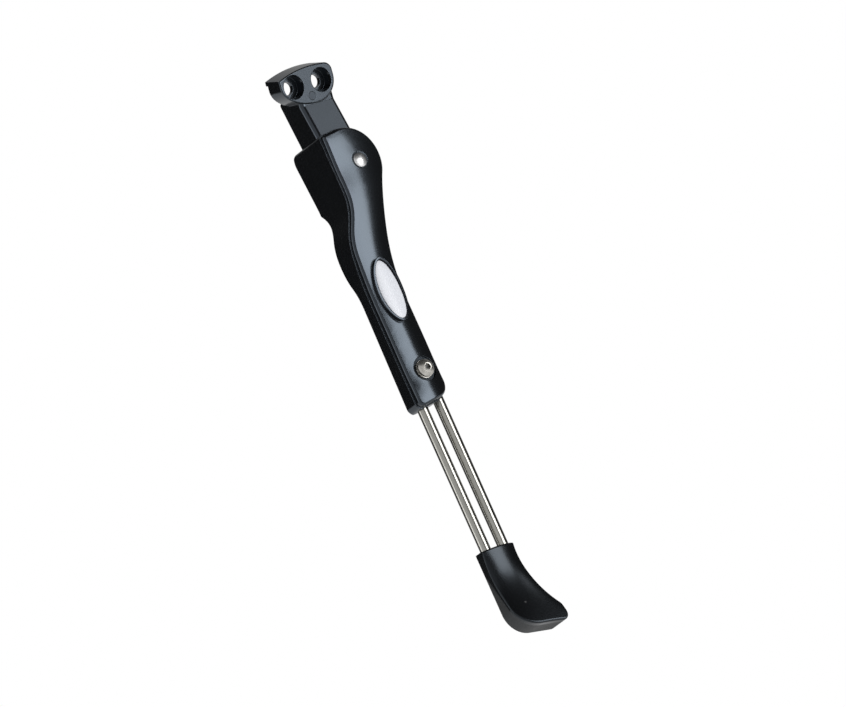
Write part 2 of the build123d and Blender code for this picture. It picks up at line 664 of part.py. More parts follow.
def foot_outline():
    """Draw the foot seen from outside, with its toe swept to the right and its sole falling to the toe."""
    toe_curve = (
        (FOOT_NECK_RIGHT, FOOT_NECK_BOTTOM),
        (FOOT_NECK_RIGHT, FOOT_NECK_BOTTOM - FOOT_CURVE_DROP),
        (FOOT_TOE - FOOT_TOE_PULL, FOOT_TOE_Z + FOOT_TOE_PULL),
        (FOOT_TOE, FOOT_TOE_Z),
    )
    outline = make_face(
        Line((FOOT_NECK_RIGHT, FOOT_TOP), (FOOT_NECK_RIGHT, FOOT_NECK_BOTTOM))
        + Bezier(*toe_curve)
        + Polyline(
            (FOOT_TOE, FOOT_TOE_Z),
            (FOOT_TOE, FOOT_SOLE),
            (FOOT_LEFT, FOOT_HEEL_Z),
            (FOOT_LEFT, FOOT_TOP),
            (FOOT_NECK_RIGHT, FOOT_TOP),
        )
    )
    outline = fillet(nearest(outline, FOOT_TOE, FOOT_TOE_Z), FOOT_NOSE_R)
    outline = fillet(nearest(outline, FOOT_TOE, FOOT_SOLE), FOOT_TOE_R)
    return fillet(nearest(outline, FOOT_LEFT, FOOT_HEEL_Z), FOOT_HEEL_R)


def foot():
    # Cross-sections from the sole up, each wider than the outline that trims it
    toe_share = FOOT_TOE_HEIGHT / (FOOT_WAIST_Z - FOOT_SOLE)
    toe_edge = FOOT_SOLE_EDGE + toe_share * (FOOT_WAIST_EDGE - FOOT_SOLE_EDGE)
    toe_crown = FOOT_SOLE_CROWN + toe_share * (FOOT_WAIST_CROWN - FOOT_SOLE_CROWN)
    stations = []
    for height, right, edge, crown in (
        (FOOT_SOLE, FOOT_TOE, FOOT_SOLE_EDGE, FOOT_SOLE_CROWN),
        (FOOT_TOE_Z, FOOT_TOE, toe_edge, toe_crown),
        (FOOT_WAIST_Z, (FOOT_NECK_RIGHT + FOOT_TOE) / 2, FOOT_WAIST_EDGE, FOOT_WAIST_CROWN),
        (FOOT_TOP, FOOT_NECK_RIGHT, FOOT_TOP_EDGE, FOOT_TOP_CROWN),
    ):
        stations.append((height, FOOT_LEFT - FOOT_MARGIN, right + FOOT_MARGIN, edge, crown, FOOT_BACK))
    body = domed_loft(stations) & across(foot_outline(), -FAR, FAR)
    front = body.faces().sort_by_distance((FOOT_LEFT / 2, -FAR, FOOT_WAIST_Z))[0]
    body = fillet(front.edges(), FOOT_EDGE_R)
    for side in (-1, 1):
        body -= rod_bar(side, ROD_D, ROD_BOTTOM, 0)
    return body


BRACKET_NODES = {
    "mounting_bracket": mounting_bracket(),
    "pivot_bush": LEG * pivot_bush(),
}
LEG_NODES = {
    "leg_housing": leg_housing(),
    "pivot_pin": pivot_pin(),
    "pivot_washer": washer(TAIL_WASHER_D, PIN_D, 0, 0, TAIL_SEAT, TAIL_WASHER_T),
    "thrust_washer_front": washer(THRUST_WASHER_D, PIN_D, 0, 0, -SLOT_HALF, THRUST_WASHER_T),
    "thrust_washer_back": washer(THRUST_WASHER_D, PIN_D, 0, 0, SLOT_HALF - THRUST_WASHER_T, THRUST_WASHER_T),
    "detent_plunger": detent_plunger(),
    "detent_spring": detent_spring(),
    "badge_insert": badge_insert(),
    "clamp_screw": clamp_screw(),
    "clamp_lock_washer": clamp_lock_washer(),
    "clamp_washer": clamp_washer(),
    "clamp_block": clamp_block(),
    "leg_rod_left": leg_rod(-1),
    "leg_rod_right": leg_rod(1),
    "foot": foot(),
}

os.makedirs("parts", exist_ok=True)
for name, shape in BRACKET_NODES.items():
    export_step(shape, f"parts/{name}.step")
for name, shape in LEG_NODES.items():
    export_step(LEG * shape, f"parts/{name}.step")
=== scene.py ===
"""Folding bicycle stand: finishes, fine mesh pieces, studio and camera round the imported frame."""

import json
import logging
import math
from dataclasses import dataclass
from enum import Enum
from typing import Any, Dict, List, Optional, Sequence, Tuple, Union

import bmesh
import bpy
from mathutils import Matrix, Vector


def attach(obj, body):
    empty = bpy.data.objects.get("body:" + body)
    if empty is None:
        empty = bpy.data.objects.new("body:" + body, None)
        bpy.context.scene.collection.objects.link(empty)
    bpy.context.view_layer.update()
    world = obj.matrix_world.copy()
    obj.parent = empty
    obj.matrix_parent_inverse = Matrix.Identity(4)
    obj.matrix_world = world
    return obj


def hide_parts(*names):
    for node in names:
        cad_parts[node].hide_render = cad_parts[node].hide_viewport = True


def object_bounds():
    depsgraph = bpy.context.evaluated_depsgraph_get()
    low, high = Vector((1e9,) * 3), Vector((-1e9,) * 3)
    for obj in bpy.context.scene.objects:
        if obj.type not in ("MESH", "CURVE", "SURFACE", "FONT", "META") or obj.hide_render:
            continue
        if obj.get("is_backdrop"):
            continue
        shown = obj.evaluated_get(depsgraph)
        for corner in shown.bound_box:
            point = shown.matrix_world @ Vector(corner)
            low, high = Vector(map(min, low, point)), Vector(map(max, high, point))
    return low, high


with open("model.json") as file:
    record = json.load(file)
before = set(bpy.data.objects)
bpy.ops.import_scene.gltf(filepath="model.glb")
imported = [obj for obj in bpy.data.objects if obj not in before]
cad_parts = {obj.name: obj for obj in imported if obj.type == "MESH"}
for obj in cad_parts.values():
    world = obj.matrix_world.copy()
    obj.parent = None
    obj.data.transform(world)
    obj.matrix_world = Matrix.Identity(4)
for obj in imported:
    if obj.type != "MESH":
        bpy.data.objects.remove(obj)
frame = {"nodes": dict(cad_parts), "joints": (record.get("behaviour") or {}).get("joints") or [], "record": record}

LOG = logging.getLogger("kickstand")
MM = 0.001
FULL_TURN = 2 * math.pi
QUARTER_TURN = math.pi / 2
WELD_DISTANCE = 0.001 * MM
SHARP_ANGLE = 32.0
SQUARE_EDGE_ANGLE = 60.0
EDGE_SAMPLES = 8
NOISE_LOW = 0.3
NOISE_HIGH = 0.7

Colour = Tuple[float, float, float]
Point = Tuple[float, float]
Operand = Union["Value", float]
Settings = Optional[Dict[str, Any]]
Inputs = Optional[Dict[Union[str, int], Any]]

WHITE: Colour = (1.0, 1.0, 1.0)


class Slot(Enum):
    """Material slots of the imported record."""

    CASTING = "black_casting"
    BUSH = "bronze_bush"
    BRIGHT = "bright_steel"
    NYLON = "nylon"
    SPRING = "spring_steel"
    BADGE = "white_badge"
    STAINLESS = "stainless"
    ROD = "rod_steel"
    RUBBER = "black_rubber"


class Body(Enum):
    """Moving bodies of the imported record."""

    LEG = "leg"
    EXTENSION = "extension"


class LegSpace:
    """The leg's own axes: x along the bolt row, y along the pivot pin inboard, z up the leg."""

    def __init__(self) -> None:
        """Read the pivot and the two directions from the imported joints."""
        joints = {joint["name"]: joint for joint in frame["joints"]}
        inboard = -Vector(joints["leg_fold"]["axis"]).normalized()
        up = -Vector(joints["leg_length"]["axis"]).normalized()
        turn = Matrix((inboard.cross(up), inboard, up)).transposed()
        pivot = Vector(joints["leg_fold"]["pos_m"])
        self.matrix = Matrix.Translation(pivot) @ turn.to_4x4()
        self.inverse = self.matrix.inverted()

    def box(self, node: str) -> Tuple[Vector, Vector]:
        """Measure a CAD node in the leg's axes.

        Args:
            node: The node's name.

        Returns:
            Its lowest and highest corners, in metres.
        """
        points = [self.inverse @ vertex.co for vertex in frame["nodes"][node].data.vertices]
        low = Vector(min(point[axis] for point in points) for axis in range(3))
        high = Vector(max(point[axis] for point in points) for axis in range(3))
        return low, high

    def middle(self, node: str) -> Vector:
        """Give the middle of a node's box in the leg's axes."""
        low, high = self.box(node)
        return (low + high) / 2


LEG = LegSpace()


class Value:
    """A shader value that takes part in Python arithmetic."""

    def __init__(self, sheet: "NodeSheet", socket: bpy.types.NodeSocket) -> None:
        """Wrap one output socket of a sheet."""
        self.sheet = sheet
        self.socket = socket

    def __add__(self, other: Operand) -> "Value":
        """Add."""
        return self.sheet.math("ADD", self, other)

    def __radd__(self, other: Operand) -> "Value":
        """Add, reflected."""
        return self.sheet.math("ADD", other, self)

    def __sub__(self, other: Operand) -> "Value":
        """Subtract."""
        return self.sheet.math("SUBTRACT", self, other)

    def __rsub__(self, other: Operand) -> "Value":
        """Subtract, reflected."""
        return self.sheet.math("SUBTRACT", other, self)

    def __mul__(self, other: Operand) -> "Value":
        """Multiply."""
        return self.sheet.math("MULTIPLY", self, other)

    def __rmul__(self, other: Operand) -> "Value":
        """Multiply, reflected."""
        return self.sheet.math("MULTIPLY", other, self)

    def __pow__(self, other: Operand) -> "Value":
        """Raise to a power."""
        return self.sheet.math("POWER", self, other)

    def __rpow__(self, other: Operand) -> "Value":
        """Raise to a power, reflected."""
        return self.sheet.math("POWER", other, self)


class NodeSheet:
    """A node tree that is filled from Python expressions."""

    def __init__(self, tree: bpy.types.NodeTree) -> None:
        """Start with an empty tree."""
        self.tree = tree
        self.tree.nodes.clear()

    def node(self, kind: str, settings: Settings = None, inputs: Inputs = None) -> bpy.types.Node:
        """Add a node.

        Args:
            kind: The node's type.
            settings: Properties, set before the sockets.
            inputs: Values or links for its input sockets, by name or number.

        Returns:
            The new node.
        """
        made = self.tree.nodes.new(kind)
        for name, value in (settings or {}).items():
            setattr(made, name, value)
        for key, value in (inputs or {}).items():
            self.feed(made.inputs[key], value)
        return made

    def feed(self, socket: bpy.types.NodeSocket, value: Any) -> None:
        """Set a socket to a value, or link it.

        Args:
            socket: The input socket.
            value: A number, colour, vector, wrapped value or output socket.
        """
        if isinstance(value, Value):
            value = value.socket
        if isinstance(value, bpy.types.NodeSocket):
            self.tree.links.new(value, socket)
        elif socket.type == "RGBA" and len(value) == 3:
            socket.default_value = (*value, 1.0)
        else:
            socket.default_value = value

    def math(self, operation: str, first: Operand, second: Operand) -> Value:
        """Add a Math node.

        Args:
            operation: The node's operation.
            first: Its first value.
            second: Its second value.

        Returns:
            The result.
        """
        made = self.node("ShaderNodeMath", {"operation": operation}, {0: first, 1: second})
        return Value(self, made.outputs[0])

    def step(self, value: Operand, low: float, high: float) -> Value:
        """Give a smooth step.

        Args:
            value: The value that is judged.
            low: Where the step is still 0.
            high: Where the step has reached 1.

        Returns:
            The step.
        """
        made = self.node(
            "ShaderNodeMapRange",
            {"interpolation_type": "SMOOTHSTEP"},
            {"Value": value, "From Min": low, "From Max": high},
        )
        return Value(self, made.outputs["Result"])

    def contrast(self, noise: Value) -> Value:
        """Stretch a noise value, which keeps near its middle, to the whole way from 0 to 1."""
        return self.step(noise, NOISE_LOW, NOISE_HIGH)

    def place(self) -> bpy.types.NodeSocket:
        """Give the Object coordinates."""
        return self.node("ShaderNodeTexCoord").outputs["Object"]

    def leg_place(self) -> bpy.types.NodeSocket:
        """Give the Object coordinates turned into the leg's axes.

        Returns:
            The socket of the turned coordinates.
        """
        turned = self.node(
            "ShaderNodeMapping",
            {"vector_type": "POINT"},
            {
                "Vector": self.place(),
                "Location": LEG.inverse.to_translation(),
                "Rotation": LEG.inverse.to_euler(),
            },
        )
        return turned.outputs["Vector"]

    def parts_of(self, vector: bpy.types.NodeSocket) -> List[Value]:
        """Split a vector into its x, y and z."""
        made = self.node("ShaderNodeSeparateXYZ", inputs={"Vector": vector})
        return [Value(self, made.outputs[axis]) for axis in "XYZ"]

    def joined(self, x: Operand, y: Operand, z: Operand) -> bpy.types.NodeSocket:
        """Join three values into a vector."""
        return self.node("ShaderNodeCombineXYZ", inputs={"X": x, "Y": y, "Z": z}).outputs["Vector"]

    def spot(self, across: Value, upward: Value, radius: float, soft: float) -> Value:
        """Give 1 inside a circle about the zero of two values and 0 outside.

        Args:
            across: Sideways distance from the circle's middle.
            upward: Distance above the circle's middle.
            radius: The circle's radius.
            soft: Half the width of its soft edge.

        Returns:
            The mask.
        """
        reach = (across * across + upward * upward) ** 0.5
        return 1.0 - self.step(reach, radius - soft, radius + soft)

    def noise(
        self, vector: bpy.types.NodeSocket, scale: float, detail: float = 2.0, roughness: float = 0.5
    ) -> Value:
        """Give a noise value from 0 to 1.

        Args:
            vector: Where the noise is read.
            scale: Cells to the metre.
            detail: Octaves.
            roughness: Weight of the finer octaves.

        Returns:
            The noise.
        """
        made = self.node(
            "ShaderNodeTexNoise",
            inputs={"Vector": vector, "Scale": scale, "Detail": detail, "Roughness": roughness},
        )
        return Value(self, made.outputs["Fac"])

    def blend(self, share: Operand, first: Any, second: Any) -> bpy.types.NodeSocket:
        """Mix two colours.

        Args:
            share: Share of the second colour, from 0 to 1.
            first: The colour at 0.
            second: The colour at 1.

        Returns:
            The mixed colour.
        """
        made = self.node("ShaderNodeMix", {"data_type": "RGBA"})
        sockets = [socket for socket in made.inputs if socket.enabled]
        for socket, value in zip(sockets, (share, first, second)):
            self.feed(socket, value)
        return next(socket for socket in made.outputs if socket.enabled)

    def seen_share(self) -> Value:
        """Tell what is looked at from what is only lit.

        Returns:
            1 for rays of the camera, of reflections and of clear pieces, and 0 for others.
        """
        rays = self.node("ShaderNodeLightPath").outputs
        share = Value(self, rays["Is Camera Ray"])
        for name in ("Is Glossy Ray", "Is Transmission Ray"):
            share = self.math("MAXIMUM", share, Value(self, rays[name]))
        return share


class FinishSheet(NodeSheet):
    """The node tree of a material with a Principled shader."""

    def __init__(self, name: str) -> None:
        """Make the material with its shader and output.

        Args:
            name: The material's name.
        """
        self.material = bpy.data.materials.new(name)
        self.material.use_nodes = True
        super().__init__(self.material.node_tree)
        self.shader = self.node("ShaderNodeBsdfPrincipled")
        self.node("ShaderNodeOutputMaterial", inputs={"Surface": self.shader.outputs["BSDF"]})

    def bump(self, height: Value, depth: float, rounding: float = 0.0) -> bpy.types.NodeSocket:
        """Turn a height into a bumped normal.

        Args:
            height: The height, from 0 to 1.
            depth: The real height at 1, in metres.
            rounding: Radius that the edges seem to have, in metres.

        Returns:
            The normal.
        """
        made = self.node("ShaderNodeBump", inputs={"Height": height, "Distance": depth})
        if rounding > 0.0:
            edges = self.node("ShaderNodeBevel", {"samples": EDGE_SAMPLES}, {"Radius": rounding})
            self.feed(made.inputs["Normal"], edges.outputs["Normal"])
        return made.outputs["Normal"]

    def done(self, **inputs: Any) -> bpy.types.Material:
        """Feed the Principled shader.

        Args:
            inputs: Socket names with underscores for spaces, and their values or links.

        Returns:
            The finished material.
        """
        for name, value in inputs.items():
            self.feed(self.shader.inputs[name.replace("_", " ")], value)
        return self.material


@dataclass(frozen=True)
class PowderCoat:
    """Satin black powder coat on a light-alloy casting, duller on the moulder's mark of the head, with its
    reflections tinted blue for the cool key light.
    """

    dark: Colour = (0.0032, 0.0033, 0.0036)
    light: Colour = (0.0056, 0.0058, 0.0063)
    roughness: float = 0.155
    spread: float = 0.05
    specular: float = 0.75
    # Bluish specular tint that paints the cool colour of the key light into the coat's reflections.
    cool_light_tint: Colour = (0.72, 0.85, 1.0)
    peel_cells: float = 1100.0
    peel_depth: float = 0.0015 * MM
    peel_share: float = 0.3
    cloud_cells: float = 45.0
    cloud_detail: float = 3.0
    edge_r: float = 0.4 * MM
    mark_x: float = 1.0 * MM
    mark_z: float = -6.8 * MM
    mark_r: float = 2.2 * MM
    mark_soft: float = 0.15 * MM
    mark_front: float = -9.0 * MM
    mark_dull: float = 0.2

    def make(self) -> bpy.types.Material:
        """Build the material.

        Returns:
            The material.
        """
        sheet = FinishSheet("satin_black_powder_coat")
        place = sheet.place()
        x, y, z = sheet.parts_of(place)
        cloud = sheet.noise(place, self.cloud_cells, self.cloud_detail)
        peel = sheet.noise(place, self.peel_cells)
        mark = sheet.spot(x - self.mark_x, z - self.mark_z, self.mark_r, self.mark_soft)
        front = 1.0 - sheet.step(y, self.mark_front - self.mark_soft, self.mark_front + self.mark_soft)
        satin = self.roughness + self.spread * cloud + self.peel_share * self.spread * peel
        return sheet.done(
            Base_Color=sheet.blend(cloud, self.dark, self.light),
            Roughness=satin + self.mark_dull * mark * front,
            Specular_IOR_Level=self.specular,
            Specular_Tint=self.cool_light_tint,
            Normal=sheet.bump(peel, self.peel_depth, self.edge_r),
        )


@dataclass(frozen=True)
class MouldedRubber:
    """Black rubber with a small moulding pip and reflections tinted blue for the cool key light; the rougher band
    below the front crease is painted a lighter grey for light from the floor below.
    """

    black: Colour = (0.0035, 0.0037, 0.004)
    # Lighter grey painted on the band below the crease, for light thrown up from the floor.
    band_lit_grey: Colour = (0.043, 0.042, 0.040)
    pip_grey: Colour = (0.06, 0.06, 0.06)
    roughness: float = 0.22
    band_roughness: float = 0.55
    specular: float = 0.42
    # Bluish specular tint that paints the cool colour of the key light into the rubber's reflections.
    cool_light_tint: Colour = (0.77, 0.88, 1.0)
    grain_cells: float = 1600.0
    grain_depth: float = 0.0012 * MM
    grain_spread: float = 0.04
    mottle_cells: float = 130.0
    mottle_detail: float = 4.0
    mottle_share: float = 0.75
    crease_sole: float = -8.2 * MM
    crease_rise: float = 0.31
    crease_soft: float = 0.7 * MM
    pip_x: float = -13.6 * MM
    pip_z: float = -246.3 * MM
    pip_r: float = 0.55 * MM
    pip_soft: float = 0.25 * MM
    crown_x: float = -11.5 * MM
    crown_ease_r: float = 46.0 * MM

    def make(self) -> bpy.types.Material:
        """Build the material.

        Returns:
            The material.
        """
        sheet = FinishSheet("moulded_black_rubber")
        place = sheet.leg_place()
        x, depth, height = sheet.parts_of(place)
        low, _ = LEG.box("foot")
        grain = sheet.noise(place, self.grain_cells)
        mottle = sheet.noise(place, self.mottle_cells, self.mottle_detail)
        crease = self.crease_sole + self.crease_rise * (height - low.z)
        band = sheet.step(depth - crease, -self.crease_soft, self.crease_soft)
        pip = sheet.spot(x - self.pip_x, height - self.pip_z, self.pip_r, self.pip_soft)
        pip = pip * (1.0 - sheet.step(depth, -self.pip_soft, 0.0))
        # Painted light: the band below the crease is coloured a mottled lighter grey for light from the floor
        # below; the band is also rougher.
        band_painted_light = sheet.blend(mottle, tuple(self.mottle_share * part for part in self.band_lit_grey), self.band_lit_grey)
        skin = sheet.blend(pip, self.black, self.pip_grey)
        across = x - self.crown_x
        ease = across * across * (0.5 / self.crown_ease_r)
        satin = self.roughness + (self.band_roughness - self.roughness) * band
        return sheet.done(
            Base_Color=sheet.blend(band, skin, band_painted_light),
            Roughness=satin + self.grain_spread * grain,
            Specular_IOR_Level=self.specular,
            Specular_Tint=self.cool_light_tint,
            Normal=sheet.bump(ease + self.grain_depth * grain, 1.0),
        )


@dataclass(frozen=True)
class BrushedRod:
    """Drawn stainless rod with fine scratches along its length."""

    bright: Colour = (0.42, 0.415, 0.385)
    dull: Colour = (0.29, 0.285, 0.262)
    roughness: float = 0.17
    spread: float = 0.08
    streak_cells: float = 2600.0
    broad_cells: float = 520.0
    broad_share: float = 0.5
    stretch: float = 0.012
    scratch_depth: float = 0.0012 * MM

    def make(self) -> bpy.types.Material:
        """Build the material.

        Returns:
            The material.
        """
        sheet = FinishSheet("brushed_stainless_rod")
        x, depth, height = sheet.parts_of(sheet.leg_place())
        along = sheet.joined(x, depth, height * self.stretch)
        streak = sheet.noise(along, self.streak_cells)
        broad = sheet.noise(along, self.broad_cells)
        shade = sheet.contrast((1 - self.broad_share) * streak + self.broad_share * broad)
        return sheet.done(
            Base_Color=sheet.blend(shade, self.dull, self.bright),
            Metallic=1.0,
            Roughness=self.roughness + self.spread * streak,
            Normal=sheet.bump(streak, self.scratch_depth),
        )


@dataclass(frozen=True)
class TurnedSteel:
    """Turned or plated steel with fine rings about an axis along the pivot direction, and painted shade in a
    hexagon socket where one is given.
    """

    name: str
    bright: Colour
    dull: Colour
    roughness: float
    centre: Point
    socket_r: float = 0.0
    # Colour of the painted shade that fills the hexagon socket's middle.
    socket_painted_shade: Colour = (0.05, 0.05, 0.05)
    socket_soft_share: float = 0.1
    ring_cells: float = 1500.0
    ring_depth: float = 0.002 * MM
    ring_spread: float = 0.12
    stain_cells: float = 350.0
    stain_detail: float = 3.0
    stain_spread: float = 0.08

    def make(self) -> bpy.types.Material:
        """Build the material.

        Returns:
            The material.
        """
        sheet = FinishSheet(self.name)
        place = sheet.leg_place()
        x, depth, height = sheet.parts_of(place)
        across = x - self.centre[0]
        upward = height - self.centre[1]
        radius = (across * across + upward * upward) ** 0.5
        rings = sheet.noise(sheet.joined(radius, depth, 0.0), self.ring_cells)
        stain = sheet.noise(place, self.stain_cells, self.stain_detail)
        colour = sheet.blend(sheet.contrast(stain), self.dull, self.bright)
        # Painted shade: the socket's round middle is coloured dark to stand in for the shade inside the recess.
        if self.socket_r > 0.0:
            soft = self.socket_soft_share * self.socket_r
            socket = sheet.spot(across, upward, self.socket_r, soft)
            colour = sheet.blend(socket, colour, self.socket_painted_shade)
        return sheet.done(
            Base_Color=colour,
            Metallic=1.0,
            Roughness=self.roughness + self.ring_spread * rings + self.stain_spread * stain,
            Normal=sheet.bump(rings, self.ring_depth),
        )


@dataclass(frozen=True)
class GlossResin:
    """White domed resin plate."""

    white: Colour = (0.79, 0.81, 0.86)
    shade: Colour = (0.77, 0.79, 0.845)
    roughness: float = 0.38
    spread: float = 0.06
    coat: float = 0.1
    coat_roughness: float = 0.25
    cloud_cells: float = 90.0
    ripple_depth: float = 0.006 * MM

    def make(self) -> bpy.types.Material:
        """Build the material.

        Returns:
            The material.
        """
        sheet = FinishSheet("gloss_white_resin")
        cloud = sheet.noise(sheet.place(), self.cloud_cells)
        return sheet.done(
            Base_Color=sheet.blend(cloud, self.shade, self.white),
            Roughness=self.roughness + self.spread * cloud,
            Coat_Weight=self.coat + self.coat * cloud,
            Coat_Roughness=self.coat_roughness,
            Normal=sheet.bump(cloud, self.ripple_depth),
        )


@dataclass(frozen=True)
class PlainMoulding:
    """Moulded or sintered piece with a faint grain."""

    name: str
    light: Colour
    dark: Colour
    roughness: float
    metallic: float = 0.0
    spread: float = 0.15
    grain_cells: float = 900.0
    grain_detail: float = 4.0
    grain_weight: float = 0.6
    grain_depth: float = 0.01 * MM

    def make(self) -> bpy.types.Material:
        """Build the material.

        Returns:
            The material.
        """
        sheet = FinishSheet(self.name)
        grain = sheet.noise(sheet.place(), self.grain_cells, self.grain_detail, self.grain_weight)
        return sheet.done(
            Base_Color=sheet.blend(sheet.contrast(grain), self.dark, self.light),
            Metallic=self.metallic,
            Roughness=self.roughness + self.spread * grain,
            Normal=sheet.bump(grain, self.grain_depth),
        )


def make_finishes() -> Dict[Slot, bpy.types.Material]:
    """Build one material for each slot of the record.

    Returns:
        The materials by slot.
    """
    screw = LEG.middle("clamp_screw")
    about_pivot = (0.0, 0.0)
    zinc = TurnedSteel(
        name="bright_zinc_plate",
        bright=(0.82, 0.82, 0.82),
        dull=(0.68, 0.68, 0.685),
        roughness=0.30,
        centre=about_pivot,
    )
    stainless = TurnedSteel(
        name="turned_stainless",
        bright=(0.58, 0.565, 0.53),
        dull=(0.38, 0.37, 0.345),
        roughness=0.30,
        centre=(screw.x, screw.z),
        # The screw's hexagon socket gets painted shade of this radius.
        socket_r=ClampScrew.socket_flats / 2,
    )
    wire = TurnedSteel(
        name="drawn_spring_wire",
        bright=(0.45, 0.45, 0.46),
        dull=(0.30, 0.30, 0.31),
        roughness=0.35,
        centre=about_pivot,
    )
    nylon = PlainMoulding(
        name="natural_nylon",
        light=(0.78, 0.77, 0.72),
        dark=(0.70, 0.69, 0.64),
        roughness=0.45,
    )
    bronze = PlainMoulding(
        name="sintered_bronze",
        light=(0.62, 0.44, 0.22),
        dark=(0.42, 0.28, 0.13),
        roughness=0.42,
        metallic=1.0,
    )
    return {
        Slot.CASTING: PowderCoat().make(),
        Slot.BUSH: bronze.make(),
        Slot.BRIGHT: zinc.make(),
        Slot.NYLON: nylon.make(),
        Slot.SPRING: wire.make(),
        Slot.BADGE: GlossResin().make(),
        Slot.STAINLESS: stainless.make(),
        Slot.ROD: BrushedRod().make(),
        Slot.RUBBER: MouldedRubber().make(),
    }


FINISHES: Dict[Slot, bpy.types.Material] = {}


class Draft:
    """A mesh under construction in the leg's axes, in metres."""

    def __init__(self) -> None:
        """Start empty."""
        self.bm = bmesh.new()

    def line(self, points: Sequence[Point], closed: bool = False) -> Tuple[List[Any], List[Any]]:
        """Draw a profile of (radius, depth) points in the plane of x and y.

        Args:
            points: The profile's points.
            closed: Whether the last point joins the first.

        Returns:
            The new vertices and edges.
        """
        verts = [self.bm.verts.new((radius, depth, 0.0)) for radius, depth in points]
        pairs = list(zip(verts, verts[1:]))
        if closed:
            pairs.append((verts[-1], verts[0]))
        return verts, [self.bm.edges.new(pair) for pair in pairs]

    def turn(self, points: Sequence[Point], steps: int, closed: bool = False) -> None:
        """Turn a profile through a full circle about the depth axis.

        Args:
            points: The profile's points.
            steps: Number of stretches round the circle.
            closed: Whether the last point joins the first.
        """
        verts, edges = self.line(points, closed)
        bmesh.ops.spin(
            self.bm,
            geom=verts + edges,
            cent=(0.0, 0.0, 0.0),
            axis=(0.0, 1.0, 0.0),
            angle=FULL_TURN,
            steps=steps,
            use_merge=True,
        )
        self.weld()

    def weld(self) -> None:
        """Merge points that meet and turn the faces outwards."""
        bmesh.ops.remove_doubles(self.bm, verts=self.bm.verts, dist=WELD_DISTANCE)
        bmesh.ops.recalc_face_normals(self.bm, faces=self.bm.faces)

    def sharp_edges(self, angle: float) -> List[Any]:
        """Find sharp edges.

        Args:
            angle: Least angle between two faces, in degrees.

        Returns:
            The edges whose faces meet at more than that.
        """
        limit = math.radians(angle)
        return [edge for edge in self.bm.edges if edge.is_manifold and edge.calc_face_angle() > limit]

    def bevel(self, edges: List[Any], width: float, segments: int = 2) -> None:
        """Round a set of edges.

        Args:
            edges: The edges.
            width: Distance that the rounding takes on each face.
            segments: Number of faces across the rounding.
        """
        bmesh.ops.bevel(
            self.bm,
            geom=edges,
            offset=width,
            offset_type="OFFSET",
            segments=segments,
            profile=0.5,
            affect="EDGES",
            material=-1,
            clamp_overlap=True,
        )

    def move(self, offset: Vector) -> None:
        """Shift the whole mesh."""
        bmesh.ops.translate(self.bm, verts=self.bm.verts, vec=offset)

    def centre(self, low: Vector, high: Vector) -> None:
        """Shift the mesh across to the middle of a box, with its depth kept."""
        self.move(Vector(((low.x + high.x) / 2, 0.0, (low.z + high.z) / 2)))

    def stand(self) -> None:
        """Turn the depth axis into the height axis."""
        bmesh.ops.rotate(self.bm, verts=self.bm.verts, matrix=Matrix.Rotation(QUARTER_TURN, 3, "X"))

    def piece(self, name: str, body: Body, slot: Slot, node: str) -> None:
        """Close the draft and hang it in the frame.

        Args:
            name: The piece's name.
            body: The body that it moves with.
            slot: The slot that it takes its finish from.
            node: The CAD node that it stands for.
        """
        self.weld()
        bmesh.ops.transform(self.bm, matrix=LEG.matrix, verts=self.bm.verts)
        mesh = bpy.data.meshes.new(name)
        self.bm.to_mesh(mesh)
        self.bm.free()
        mesh.shade_smooth()
        mesh.set_sharp_from_angle(angle=math.radians(SHARP_ANGLE))
        made = bpy.data.objects.new(name, mesh)
        bpy.context.scene.collection.objects.link(made)
        made.data.materials.append(FINISHES[slot])
        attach(made, body.value)
        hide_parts(node)
        LOG.info("piece %s: %d faces", name, len(mesh.polygons))


def kept(made: Dict[str, Any], kind: type) -> List[Any]:
    """Pick one kind of element from an operator's result.

    Args:
        made: What the operator gave.
        kind: The class of the elements that are wanted.

    Returns:
        The elements of that class.
    """
    return [item for item in made["geom"] if isinstance(item, kind)]


def dome(radius: float, front: float, rise: float, steps: int) -> List[Point]:
    """Give the profile of a low spherical cap from its rim to its middle.

    Args:
        radius: Radius of the rim.
        front: Depth of the cap's highest point.
        rise: Height of the cap, negative where it faces inboard.
        steps: Number of stretches.

    Returns:
        The points from the rim to the middle.
    """
    ball = (radius**2 + rise**2) / (2 * abs(rise))
    reach = math.asin(min(1.0, radius / ball))
    points = []
    for step in range(steps + 1):
        angle = reach * (1 - step / steps)
        fall = ball * (1 - math.cos(angle))
        points.append((ball * math.sin(angle), front + math.copysign(fall, rise)))
    return points


